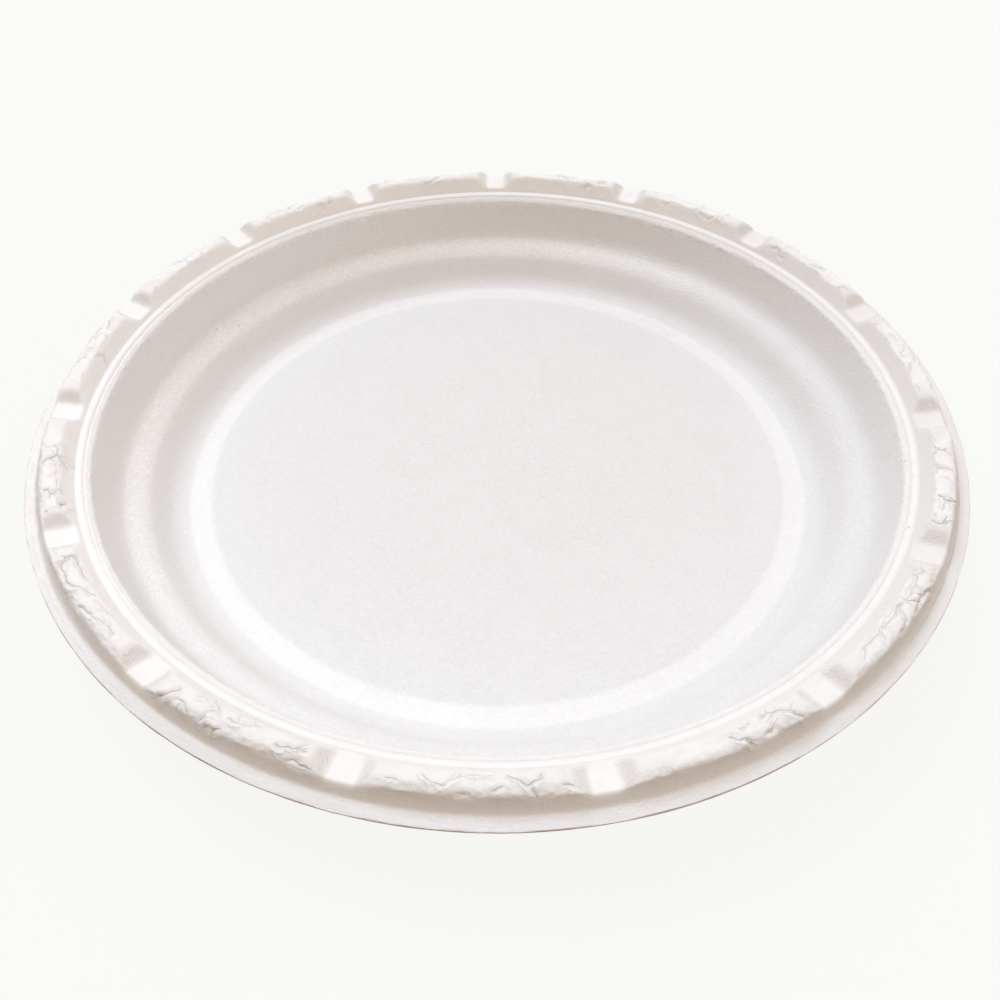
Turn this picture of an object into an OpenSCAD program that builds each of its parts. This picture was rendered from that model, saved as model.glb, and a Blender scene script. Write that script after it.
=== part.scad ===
// Round pressed-fibre plate with a deep stepped well and a ring of hollow pads on its rim.
// The plate is one skin of even thickness. One line, from the centre out to the cut edge, gives its
// upper face, and the same line moved down by the wall gives its lower face. Each line is turned
// into a solid, each solid gets the notches between the pads, and the skin is the difference.

/* [Plate] */
// Diameter across the cut edge
plate_d = 228.6; // [180:0.2:280]
// Height of the flange's upper face above the table
depth = 24; // [21:0.5:34]
// Thickness of the pressed fibre
wall = 1.1; // [0.7:0.05:1.4]

/* [Bottom] */
// Width of the flat ring that the plate rests on
ring_w = 4; // [2.5:0.5:8]
// Rise of the bottom panel inside the ring
panel_rise = 0.5; // [0.2:0.1:1.2]
// Width of the soft ramp from the ring up to the panel
ramp_w = 3; // [2:0.5:6]
// Radius that softens both ends of the ramp
ramp_round = 8; // [2:1:12]

/* [Well wall] */
// Steepness of the lower wall, degrees from level
lower_angle = 58; // [50:1:64]
// Steepness of the ledge between the lower and the upper wall, degrees from level
ledge_angle = 22; // [16:1:28]
// Width of the ledge, from corner to corner
ledge_w = 5.7; // [5:0.1:8]
// Steepness of the upper wall, degrees from level
upper_angle = 73; // [70:1:80]
// Height of the upper wall, from the ledge to the lip
upper_h = 11; // [9:0.2:13]
// Radius where the lower wall meets the bottom
foot_round = 6.8; // [4:0.2:8]
// Radius over the inner corner of the ledge
ledge_in_round = 9; // [4:0.5:10]
// Radius in the outer corner of the ledge
ledge_out_round = 6; // [3:0.5:7]

/* [Lip] */
// Width of the sloping lip on top of the upper wall, out to the groove
lip_w = 1.25; // [1:0.05:2]
// Drop of the lip's inner edge below the flange's upper face
lip_drop = 0.65; // [0.4:0.05:1.2]
// Rise of the lip from its inner edge to the groove
lip_rise = 0.95; // [0.6:0.05:1.2]
// Radius of the lip's inner edge
lip_round = 0.8; // [0.3:0.1:0.9]
// Width of the groove's inner side
groove_side = 0.15; // [0.1:0.05:0.3]
// Depth of the fine groove between the lip and the bead
groove_depth = 0.15; // [0.1:0.05:0.3]
// Width of the bead, from the groove to the foot of the pads
bead_w = 1.85; // [1.5:0.05:2.4]
// Height of the bead's inner edge above the flange's upper face
bead_h = 0.9; // [0.7:0.05:1.2]
// Rise of the bead from its inner edge to the foot of the pads
bead_rise = 0.3; // [0.1:0.05:0.5]
// Radius of the bead's inner edge
bead_round = 0.45; // [0.2:0.05:0.5]

/* [Pads] */
// Number of pads, and of notches between them
pad_n = 15; // [8:1:20]
// Height of the pads' inner top edge above the flange's upper face
pad_in_h = 5.2; // [4.6:0.1:5.8]
// Width of the pads' inner slope, seen from above
pad_in_w = 2.4; // [2.2:0.1:3.2]
// Width of the pads' top
pad_top_w = 3.95; // [3.4:0.05:6]
// Rise of the pads' top towards the rim, degrees
pad_top_angle = 12; // [8:1:14]
// Width of the pads' outer wall, seen from above
pad_out_w = 2.3; // [1.8:0.1:3]
// Radius where the pads rise from the bead
valley_round = 0.4; // [0.2:0.1:0.6]
// Radius over the pads' inner top edge
pad_in_round = 1.5; // [1.4:0.1:2]
// Radius over the pads' outer top edge
pad_out_round = 2; // [1.5:0.1:2.2]
// Radius where the pads meet the flange
pad_foot_round = 1.2; // [0.4:0.1:1.4]

/* [Notches] */
// Width of a notch's flat floor
notch_w = 5.2; // [3.2:0.2:8]
// Height of a notch's floor above the flange's upper face, halfway across the pad
notch_h = 3.1; // [2.6:0.1:3.4]
// Rise of a notch's floor towards the rim, degrees
notch_tilt = 14; // [6:1:16]
// Reach of a notch's floor past the pads' outer top edge
notch_reach = 0.6; // [0:0.1:1]
// Fall of a notch's outer end, from its floor to the pads' outer wall, degrees
notch_fall = 38; // [25:1:45]
// Steepness of the pads' ends, degrees from level
end_angle = 36; // [30:1:52]
// Radius where the pads' ends rise from a notch's floor
end_foot_round = 1; // [0:0.2:1.2]
// Radius over the top edge of the pads' ends
end_round = 3; // [1.6:0.2:3.6]
// Slope that leads from the pads' ends over their tops, degrees from level
flare_angle = 8; // [4:1:15]
// Turn of the whole ring of notches, degrees clockwise
ring_turn = 0.4; // [-12:0.1:12]
// Most that a notch leads or lags its even place, once round the ring, degrees
lead = 1.5; // [0:0.1:3]
// Bearing at which the first lag turns into a lead, degrees clockwise from the far side
lead_bearing = 107; // [0:1:359]
// Most that a notch leads or lags its even place, twice round the ring, degrees
half_lead = 0.5; // [0:0.1:1]
// Bearing at which this second lag turns into a lead, degrees clockwise from the far side
half_bearing = 168; // [0:1:359]

/* [Flange] */
// Width of the flat flange outside the pads
flange_w = 2.6; // [2:0.1:6]
// How far the cut edge leans out from top to bottom
edge_lean = 0.15; // [0:0.05:0.5]

/* [Hidden] */
$fn = 144;
// Greatest turn of one step of a rounded corner, degrees
round_step = 12;
// Reach of the cutting solids beyond the plate
spare = 10;

// Radii of the rim, from the cut edge inwards
plate_r = plate_d / 2;
pad_foot_r = plate_r - flange_w;
pad_out_r = pad_foot_r - pad_out_w;
pad_in_r = pad_out_r - pad_top_w;
valley_r = pad_in_r - pad_in_w;
groove_r = valley_r - bead_w;
bead_in_r = groove_r + 0.3 * bead_w;
lip_r = groove_r - lip_w;
notch_mid_r = (pad_in_r + pad_out_r) / 2;
notch_end_r = pad_out_r + notch_reach;

// Heights of the rim
lip_z = depth - lip_drop;
lip_top_z = lip_z + lip_rise;
bead_z = depth + bead_h;
valley_z = bead_z + bead_rise;
pad_out_h = pad_in_h + pad_top_w * tan(pad_top_angle);
notch_end_h = notch_h + (notch_end_r - notch_mid_r) * tan(notch_tilt);

// Height of the pads' crest, which is the top of the arc over their outer top edge
pad_out_angle = atan2(pad_out_h, pad_out_w);
half_turn = (pad_out_angle + pad_top_angle) / 2;
crest_h = pad_out_h + pad_out_round * (1 - cos(pad_out_angle - half_turn) / cos(half_turn));

// Corners of the well wall, worked down from the lip
ledge_out_z = lip_z - upper_h;
ledge_out_r = lip_r - upper_h / tan(upper_angle);
ledge_in_r = ledge_out_r - ledge_w;
ledge_in_z = ledge_out_z - ledge_w * tan(ledge_angle);
foot_r = ledge_in_r - (ledge_in_z - wall) / tan(lower_angle);
ring_out_r = foot_r - foot_round * tan(lower_angle / 2);
ring_in_r = ring_out_r - ring_w;
panel_r = ring_in_r - ramp_w;

// A line is a list of corners, each [distance out, height, radius of the rounded corner].

// Unit direction from corner a to corner b
function heading(a, b) = let (v = [b[0] - a[0], b[1] - a[1]]) v / norm(v);

// Unit direction to the right of the direction u
function right_of(u) = [u[1], -u[0]];

// Signed turn from the direction u to the direction v, degrees, positive to the left
function turn(u, v) = atan2(u[0] * v[1] - u[1] * v[0], u * v);

// Vector p turned by the angle t
function turned(p, t) = [p[0] * cos(t) - p[1] * sin(t), p[0] * sin(t) + p[1] * cos(t)];

// Place of a corner after both its sides have moved d to the right
function moved_corner(b, u, v, d) =
    let (m = right_of(u), n = right_of(v))
    [b[0], b[1]] + d * (m + n) / (1 + m * n);

// Steps of the arc that rounds the corner p between the directions u and v
function rounded_corner(p, u, v, rad) =
    let (t = turn(u, v), side = sign(t), steps = ceil(abs(t) / round_step))
    rad <= 0 || abs(t) < 1 ? [p] :
    let (start = p - u * rad * tan(abs(t) / 2), spoke = right_of(u) * rad * side)
    [for (k = [0 : steps]) start - spoke + turned(spoke, t * k / steps)];

// Points of a line moved d to the right, with its corners rounded so that the skin keeps its thickness
function moved_line(line, d) =
    let (last = len(line) - 1, u0 = heading(line[0], line[1]), u9 = heading(line[last - 1], line[last]))
    concat(
        [moved_corner(line[0], u0, u0, d)],
        [for (i = [1 : last - 1])
            let (u = heading(line[i - 1], line[i]), v = heading(line[i], line[i + 1]),
                 rad = line[i][2] + sign(turn(u, v)) * d)
            each rounded_corner(moved_corner(line[i], u, v, d), u, v, rad)],
        [moved_corner(line[last], u9, u9, d)]);

// Bottom and wall of the well, from the centre out to the lip
well_line = [
    [0, wall + panel_rise, 0],
    [panel_r, wall + panel_rise, ramp_round],
    [ring_in_r, wall, ramp_round],
    [foot_r, wall, foot_round],
    [ledge_in_r, ledge_in_z, ledge_in_round],
    [ledge_out_r, ledge_out_z, ledge_out_round],
    [lip_r, lip_z, lip_round],
];

// Lip, groove and bead, which only the upper face has
bead_line = [
    [groove_r - groove_side, lip_top_z, 0],
    [groove_r, lip_top_z - groove_depth, 0],
    [bead_in_r, bead_z, bead_round],
];

// Rise over a pad and down to the flange, out to the radius r
function pad_line(r) = [
    [valley_r, valley_z, valley_round],
    [pad_in_r, depth + pad_in_h, pad_in_round],
    [pad_out_r, depth + pad_out_h, pad_out_round],
    [pad_foot_r, depth, pad_foot_round],
    [r, depth, 0],
];

// Half of a notch across its length: flat floor, pad's end, and the flare over the pad's top
end_h = crest_h - notch_h;
end_x = notch_w / 2 + end_h / tan(end_angle);
notch_line = [
    [0, 0, 0],
    [notch_w / 2, 0, end_foot_round],
    [end_x, end_h, end_round],
    [end_x + spare, end_h + spare * tan(flare_angle), 0],
];

// Space above a channel, moved down by d, along the radius that points to +Y. Its floor passes the
// height h above the flange at the radius r, rises outwards by the angle tilt, and ends after the reach.
module channel(r, h, tilt, reach, d) {
    half = moved_line(notch_line, d);
    end = half[len(half) - 1];
    other_half = [for (i = [len(half) - 1 : -1 : 1]) [-half[i][0], half[i][1]]];
    translate([0, r, depth + h])
        rotate([90 + tilt, 0, 0])
            translate([0, 0, -reach])
                linear_extrude(height = reach + spare)
                    polygon(concat([[-end[0], spare]], other_half, half, [[end[0], spare]]));
}

// One notch: its floor, and the fall at its outer end
module notch(d) {
    channel(notch_mid_r, notch_h, notch_tilt, spare, d);
    channel(notch_end_r, notch_end_h, -notch_fall, (pad_foot_r - notch_end_r) / cos(notch_fall), d);
}

// All the notches, at their bearings round the plate
module notches(d) {
    for (i = [0 : pad_n - 1]) {
        even = i * 360 / pad_n;
        waves = lead * sin(even - lead_bearing) + half_lead * sin(2 * (even - half_bearing));
        rotate([0, 0, -(even + ring_turn + waves)]) notch(d);
    }
}

// Solid below a face of the plate, down to the height low
module below(face, low) {
    end = face[len(face) - 1];
    rotate_extrude()
        polygon(concat([[0, low]], face, [[end[0], low]]));
}

// Solid below the upper face, with the cut edge as its side
module upper_solid() {
    face = moved_line(concat(well_line, bead_line, pad_line(plate_r - edge_lean)), 0);
    difference() {
        below(concat(face, [[plate_r, depth - wall]]), -spare);
        notches(0);
    }
}

// Solid below the lower face, which reaches past the cut edge
module lower_solid() {
    difference() {
        below(moved_line(concat(well_line, pad_line(plate_r + spare)), wall), -2 * spare);
        notches(wall);
    }
}

// The whole plate, one pressed skin
module plate() {
    color([0.95, 0.94, 0.93])
        difference() {
            upper_solid();
            lower_solid();
        }
}

plate();
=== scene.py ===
# %% [markdown]
# A deep round plate pressed from wet plant-fibre pulp, seen from above and in front.
# The real plate is one skin, about a millimetre thick, so the model is one piece too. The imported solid
# gives the size and the place. This script builds the same skin again as a much finer mesh, with the
# creases, the torn lip and the uneven flange that pressing and drying leave, and gives it its finish.

# %% The frame and its box
import math
import random

import bpy
import numpy as np
from mathutils import Matrix, Vector, noise


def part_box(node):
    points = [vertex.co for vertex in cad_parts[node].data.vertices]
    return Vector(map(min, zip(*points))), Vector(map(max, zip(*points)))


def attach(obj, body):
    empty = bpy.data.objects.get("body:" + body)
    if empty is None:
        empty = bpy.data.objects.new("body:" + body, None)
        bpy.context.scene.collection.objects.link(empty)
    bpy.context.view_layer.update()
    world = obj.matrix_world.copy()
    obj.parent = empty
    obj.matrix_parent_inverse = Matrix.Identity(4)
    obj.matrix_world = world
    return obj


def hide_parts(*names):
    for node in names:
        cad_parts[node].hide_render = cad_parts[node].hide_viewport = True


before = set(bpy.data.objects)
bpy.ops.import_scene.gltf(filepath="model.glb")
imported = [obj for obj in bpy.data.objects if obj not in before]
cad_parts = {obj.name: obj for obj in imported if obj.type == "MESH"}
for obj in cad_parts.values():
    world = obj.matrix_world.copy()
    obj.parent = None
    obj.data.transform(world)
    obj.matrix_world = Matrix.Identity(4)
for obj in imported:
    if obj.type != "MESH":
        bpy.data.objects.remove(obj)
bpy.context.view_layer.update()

MM = 0.001
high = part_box("plate")[1]
PLATE_R = high.x
print(f"plate: {2 * PLATE_R / MM:.1f} mm across, {high.z / MM:.1f} mm high")

# %% [markdown]
# The plate's section is one line of corners from the centre to the cut edge, as in the part's source.
# It could be drawn as a curve and spun, but a spun curve can't carry notches or creases. Here the line
# stays a list of corners in millimetres. Its sizes are widths and rises, as a mould maker gives them, and
# the corners' radii follow by adding them up from the cut edge inwards. First come the flange and the pads.

# %% The flange and the pads, in millimetres
PLATE_MM = PLATE_R / MM
DEPTH = 24.0
WALL = 1.1
FLANGE_W = 2.6

PAD_IN_W = 2.4
PAD_IN_H = 5.2
PAD_TOP_W = 3.95
PAD_TOP_ANGLE = math.radians(12)
PAD_OUT_W = 2.3
PAD_IN_ROUND = 1.5
PAD_OUT_ROUND = 2.0
PAD_FOOT_ROUND = 1.2
VALLEY_ROUND = 0.4

PAD_FOOT_R = PLATE_MM - FLANGE_W
PAD_OUT_R = PAD_FOOT_R - PAD_OUT_W
PAD_IN_R = PAD_OUT_R - PAD_TOP_W
VALLEY_R = PAD_IN_R - PAD_IN_W
PAD_CORNER_H = PAD_IN_H + PAD_TOP_W * math.tan(PAD_TOP_ANGLE)
print(f"pads: {VALLEY_R:.1f} to {PAD_FOOT_R:.1f} mm, their tops {PAD_IN_R:.1f} to {PAD_OUT_R:.1f} mm")

# %% [markdown]
# Inside the pads runs a slim bead, which the mould presses into the top face only. A fine groove parts it
# from the narrow lip, where the wall begins.

# %% The bead and the lip, in millimetres
LIP_W = 1.25
LIP_DROP = 0.65
LIP_RISE = 0.95
LIP_ROUND = 0.8
GROOVE_W = 0.3
GROOVE_DEPTH = 0.15
BEAD_W = 1.85
BEAD_H = 0.9
BEAD_RISE = 0.3
BEAD_ROUND = 0.45

GROOVE_R = VALLEY_R - BEAD_W
LIP_R = GROOVE_R - LIP_W
BEAD_SIDE = 0.3 * BEAD_W
LIP_Z = DEPTH - LIP_DROP
BEAD_Z = DEPTH + BEAD_H
print(f"lip at {LIP_R:.1f} mm, groove at {GROOVE_R:.1f} mm, bead {BEAD_Z:.1f} mm high")

# %% [markdown]
# The well has a steep upper wall, a gentle ledge, a lower wall and a bottom that rests on a narrow ring. The
# angles and widths were read from the photo, so the radii of the corners are worked out from them.

# %% The well, in millimetres
UPPER_ANGLE = math.radians(73)
UPPER_H = 11.0
LEDGE_ANGLE = math.radians(22)
LEDGE_W = 5.7
LEDGE_IN_ROUND = 9.0
LEDGE_OUT_ROUND = 6.0
LOWER_ANGLE = math.radians(58)
FOOT_ROUND = 6.8
RING_W = 4.0
PANEL_RISE = 0.5
RAMP_W = 3.0
RAMP_ROUND = 8.0

LEDGE_OUT_Z = LIP_Z - UPPER_H
LEDGE_OUT_R = LIP_R - UPPER_H / math.tan(UPPER_ANGLE)
LEDGE_IN_R = LEDGE_OUT_R - LEDGE_W
LEDGE_IN_Z = LEDGE_OUT_Z - LEDGE_W * math.tan(LEDGE_ANGLE)
FOOT_R = LEDGE_IN_R - (LEDGE_IN_Z - WALL) / math.tan(LOWER_ANGLE)
RING_OUT_R = FOOT_R - FOOT_ROUND * math.tan(LOWER_ANGLE / 2)
RING_IN_R = RING_OUT_R - RING_W
PANEL_R = RING_IN_R - RAMP_W
print(f"resting ring from {RING_IN_R:.1f} to {RING_OUT_R:.1f} mm, ledge from {LEDGE_IN_R:.1f} mm")

# %% [markdown]
# A pressed skin has the same thickness everywhere, so its underside is the same line moved in by the
# wall. Moving a corner means moving both of its sides, and its round grows or shrinks by the same wall.

# %% A line, and the same line moved to its right
ROUND_STEP = math.radians(9)
STRAIGHT = math.radians(1)


def heading(a, b):
    step = np.subtract(b[:2], a[:2])
    return step / np.hypot(*step)


def right_of(u):
    return np.array([u[1], -u[0]])


def round_points(place, u, radius, turn):
    """Points of a corner's round, which starts in direction u and turns by turn."""
    start = place - u * radius * math.tan(abs(turn) / 2)
    spoke = right_of(u) * math.copysign(radius, turn)
    steps = math.ceil(abs(turn) / ROUND_STEP)
    points = []
    for k in range(steps + 1):
        c, s = math.cos(turn * k / steps), math.sin(turn * k / steps)
        points.append(start - spoke + [spoke[0] * c - spoke[1] * s, spoke[0] * s + spoke[1] * c])
    return points


def moved_line(line, d):
    """Points of the line moved d to the right, with each corner rounded by its own radius."""
    first, last = heading(line[0], line[1]), heading(line[-2], line[-1])
    points = [np.array(line[0][:2]) + d * right_of(first)]
    for before, corner, after in zip(line, line[1:], line[2:]):
        u, v = heading(before, corner), heading(corner, after)
        m, n = right_of(u), right_of(v)
        place = np.array(corner[:2]) + d * (m + n) / (1 + m @ n)
        turn = math.atan2(u[0] * v[1] - u[1] * v[0], u @ v)
        radius = corner[2] + math.copysign(d, turn)
        if radius <= 0 or abs(turn) < STRAIGHT:
            points.append(place)
        else:
            points += round_points(place, u, radius, turn)
    points.append(np.array(line[-1][:2]) + d * right_of(last))
    return np.array(points)


tried = moved_line([(0, 0, 0), (10, 0, 3), (10, 10, 0)], 1.0)
print(f"a square corner with a round of 3 mm, moved by 1 mm: {len(tried)} points")

# %% [markdown]
# The line has three stretches: well, bead and pads. The underside leaves the bead out, because it is
# pressed into the top face only. The line runs on past the rim, and the rings stop at the cut edge.

# %% The driving line: well, bead and pads
SPARE = 10.0

well_line = [
    (0, WALL + PANEL_RISE, 0),
    (PANEL_R, WALL + PANEL_RISE, RAMP_ROUND),
    (RING_IN_R, WALL, RAMP_ROUND),
    (FOOT_R, WALL, FOOT_ROUND),
    (LEDGE_IN_R, LEDGE_IN_Z, LEDGE_IN_ROUND),
    (LEDGE_OUT_R, LEDGE_OUT_Z, LEDGE_OUT_ROUND),
    (LIP_R, LIP_Z, LIP_ROUND),
]
bead_line = [
    (GROOVE_R - GROOVE_W / 2, LIP_Z + LIP_RISE, 0),
    (GROOVE_R, LIP_Z + LIP_RISE - GROOVE_DEPTH, 0),
    (GROOVE_R + BEAD_SIDE, BEAD_Z, BEAD_ROUND),
]
pad_line = [
    (VALLEY_R, BEAD_Z + BEAD_RISE, VALLEY_ROUND),
    (PAD_IN_R, DEPTH + PAD_IN_H, PAD_IN_ROUND),
    (PAD_OUT_R, DEPTH + PAD_CORNER_H, PAD_OUT_ROUND),
    (PAD_FOOT_R, DEPTH, PAD_FOOT_ROUND),
    (PLATE_MM + SPARE, DEPTH, 0),
]
upper = moved_line(well_line + bead_line + pad_line, 0)
lower = moved_line(well_line + pad_line, WALL)
print(f"upper face: {len(upper)} points, lower face: {len(lower)} points")

# %% [markdown]
# Fifteen notches cut the raised ring into pads. The mould's notches aren't quite even: on one side they
# lead their even places, and opposite they lag. Two sine waves round the rim say it with four numbers,
# where a list of fifteen measured bearings would say nothing about why.

# %% Where the notches are
NOTCHES = 15
RING_TURN = 0.4
LEAD = 1.5
LEAD_BEARING = 107.0
HALF_LEAD = 0.5
HALF_BEARING = 168.0


def notch_bearing(k):
    """Bearing of notch k in degrees, clockwise from the far side."""
    even = k * 360 / NOTCHES
    waves = LEAD * math.sin(math.radians(even - LEAD_BEARING))
    waves += HALF_LEAD * math.sin(math.radians(2 * (even - HALF_BEARING)))
    return even + RING_TURN + waves


bearings = [notch_bearing(k) for k in range(NOTCHES + 1)]
print("notch bearings:", [round(b, 1) for b in bearings[:-1]])

# %% [markdown]
# A notch is a channel with a flat floor, drafted ends and a slow flare over the pads. Its height needs only
# the distance across and the distance out. The ends rise up to the pad's own height, so that comes first.

# %% The line across a notch
NOTCH_W = 5.2
NOTCH_H = 3.1
END_ANGLE = math.radians(36)
END_ROUND = 3.0
END_FOOT_ROUND = 1.0
FLARE_ANGLE = math.radians(8)

PAD_OUT_ANGLE = math.atan2(PAD_CORNER_H, PAD_OUT_W)
HALF_SUM = (PAD_TOP_ANGLE + PAD_OUT_ANGLE) / 2
HALF_DIFFERENCE = (PAD_TOP_ANGLE - PAD_OUT_ANGLE) / 2
PAD_H = PAD_CORNER_H + PAD_OUT_ROUND * (1 - math.cos(HALF_DIFFERENCE) / math.cos(HALF_SUM))
END_H = PAD_H - NOTCH_H
END_X = NOTCH_W / 2 + END_H / math.tan(END_ANGLE)
notch_line = [
    (0, 0, 0),
    (NOTCH_W / 2, 0, END_FOOT_ROUND),
    (END_X, END_H, END_ROUND),
    (END_X + 3 * SPARE, END_H + 3 * SPARE * math.tan(FLARE_ANGLE), 0),
]
print(f"a notch is {2 * END_X:.1f} mm wide at the pads' tops, {PAD_H:.2f} mm above the flange")

# %% [markdown]
# Two channels make a notch: the floor, which tilts inwards, and the fall at its outer end. The lower of the
# two counts, and so does the lower of the notch and the pad. A plain minimum would leave sharp corners, and
# pulp can't hold one, so both use a minimum with its corner rounded.

# %% The notch's height
NOTCH_TILT = math.radians(14)
ROLL_OUT = 0.6
ROLL_ANGLE = math.radians(-38)
ROLL_SOFT = 0.8
NOTCH_MID_R = (PAD_IN_R + PAD_OUT_R) / 2
ROLL_R = PAD_OUT_R + ROLL_OUT
ROLL_Z = DEPTH + NOTCH_H + (ROLL_R - NOTCH_MID_R) * math.tan(NOTCH_TILT)


def soft_min(a, b, k):
    """The lower of a and b, with the corner between them rounded over a height of k."""
    h = np.clip(1 - np.abs(a - b) / k, 0, 1)
    return np.minimum(a, b) - h * h * k / 4


def channel(across, out, d, at_r, at_z, tilt):
    """Height of a channel, moved down by d, whose floor passes at_r, at_z and rises outwards by tilt."""
    half = moved_line(notch_line, d)
    rise = np.interp(np.abs(across), half[:, 0], half[:, 1])
    return at_z + (out - at_r) * math.tan(tilt) + rise / math.cos(tilt)


def notch_height(across, out, d):
    """Height of a notch: its floor and the roll-off at its outer end."""
    floor = channel(across, out, d, NOTCH_MID_R, DEPTH + NOTCH_H, NOTCH_TILT)
    roll = channel(across, out, d, ROLL_R, ROLL_Z, ROLL_ANGLE)
    return soft_min(floor, roll, ROLL_SOFT)


print(f"the notch's floor turns down at {ROLL_R:.1f} mm, {ROLL_Z:.1f} mm high")

# %% [markdown]
# Pressed pulp dries unevenly: at the far side this rim keeps its full height, and elsewhere it has sunk by
# up to a millimetre. The sink fades out at the lip and at the flange. A soft step says where things begin
# and end, here and in all the steps after it.

# %% Sag of the rim
SAG_AT = [LIP_R, GROOVE_R, VALLEY_R, PAD_IN_R, PAD_OUT_R, PAD_FOOT_R + 0.2]
SAG = [0.0, 0.4, 0.5, 0.9, 0.9, 0.0]


def soft_step(x, start, end):
    """0 up to start, 1 from end, smooth between."""
    t = np.clip((x - start) / (end - start), 0, 1)
    return t * t * (3 - 2 * t)


def sag(theta, radius):
    """How far the rim has sunk at each point, in millimetres."""
    away = 1 - np.clip(np.cos(theta), 0, 1) ** 2
    return away * np.interp(radius, SAG_AT, SAG)


print(f"sag of the pads: far side {sag(0, PAD_OUT_R):.1f} mm, near side {sag(math.pi, PAD_OUT_R):.1f} mm")

# %% [markdown]
# The mesh is a set of rings. Creases need points every third of a millimetre, and only the pads' tops have
# them, so a ring may have twice as many points as its neighbour and the mesh stays light elsewhere. The
# points of a ring keep a notch's corners, so that its edges stay crisp.

# %% Points round a ring
FINEST = 120
FLOOR_STEPS = 7
END_STEPS = 5


def steps_across():
    """Distance across from a notch's middle of each of the finest steps up to the pad's end."""
    floor = np.linspace(0, NOTCH_W / 2, FLOOR_STEPS + 1)
    end = np.linspace(NOTCH_W / 2, END_X, END_STEPS + 1)[1:]
    return np.concatenate([floor, end])


def ring_bearings(radius, per_pad):
    """Bearings in radians of a ring's points, per_pad of them from each notch to the next."""
    reach = max(radius, LIP_R)
    near = np.arcsin(steps_across() / reach)
    result = []
    for k in range(NOTCHES):
        a, b = math.radians(bearings[k]), math.radians(bearings[k + 1])
        middle = np.linspace(a + near[-1], b - near[-1], FINEST - 2 * len(near) + 3)[1:-1]
        fine = np.concatenate([a + near, middle, b - near[:0:-1]])
        result.append(fine[:: FINEST // per_pad])
    return np.concatenate(result)


print(f"the finest rings have {len(ring_bearings(PAD_OUT_R, FINEST))} points")

# %% [markdown]
# Rings could be spaced evenly in radius, but then the steep walls would get too few. They are spaced evenly
# along the section instead, and each zone of it gets as many rings as its detail needs.

# %% Radii of the rings
EDGE_LEAN = 0.15
CENTRE_R = 3.0
TOP_R = PLATE_MM - EDGE_LEAN
CREASED_IN = PAD_IN_R - 0.6
CREASED_OUT = PAD_OUT_R + 0.7
# Each zone: start and end radius in millimetres, number of rings, points from notch to notch.
upper_zones = [
    (CENTRE_R, PANEL_R, 8, 15),
    (PANEL_R, LIP_R - 1.2, 32, 15),
    (LIP_R - 1.2, LIP_R - 0.7, 2, 30),
    (LIP_R - 0.7, CREASED_IN, 28, 60),
    (CREASED_IN, CREASED_OUT, 18, FINEST),
    (CREASED_OUT, PAD_FOOT_R + 0.5, 10, 60),
    (PAD_FOOT_R + 0.5, TOP_R, 6, 60),
]
lower_zones = [
    (CENTRE_R, LEDGE_OUT_R, 18, 15),
    (LEDGE_OUT_R, VALLEY_R, 8, 15),
    (VALLEY_R, PAD_FOOT_R + 1.5, 16, 30),
    (PAD_FOOT_R + 1.5, PLATE_MM - 0.7, 3, 30),
]


def walk(line, start_r, end_r, steps):
    """Radii that divide the line between two radii into steps of even length."""
    r = np.unique(np.concatenate([line[:, 0], [start_r, end_r]]))
    r = r[(r >= start_r) & (r <= end_r)]
    z = np.interp(r, line[:, 0], line[:, 1])
    run = np.concatenate([[0], np.cumsum(np.hypot(np.diff(r), np.diff(z)))])
    return np.interp(np.linspace(0, run[-1], steps + 1), run, r)[1:]


zone_text = ", ".join(f"{zone[0]:.0f}-{zone[1]:.0f}" for zone in upper_zones)
print(f"zones of the upper face, mm: {zone_text}")

# %% [markdown]
# The finest forms come from noise and from creases given one by one. Noise is a smooth random height with no
# seam, and it gives the same height for the same point each time, so the cut edge can follow the flange.

# %% Noise on points
def noise_at(points, size, seed=0.0):
    """Smooth noise from about -1 to 1 on points in millimetres; size is one lump."""
    shift = Vector((seed * 7.31, seed * 3.17, seed * 5.73))
    return np.array([noise.noise(Vector(p) / size + shift) for p in points])


def noises(points, layers):
    """Sum of noises, each given as its height in millimetres, the size of its lumps and its seed."""
    return sum(height * noise_at(points, size, seed) for height, size, seed in layers)


tried = noise_at([(x, 0.5, 0.0) for x in range(40)], 3.4, 2)
print(f"noise over 40 mm runs from {tried.min():.2f} to {tried.max():.2f}")

# %% [markdown]
# Noise alone can make any amount of wrinkling, but the plate in hand has its own cracks, so the strong ones
# are drawn. Each is a pad's number, a depth in millimetres, and a short line on that pad, given in
# millimetres along the rim from the pad's middle and millimetres out from the centre.

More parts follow.
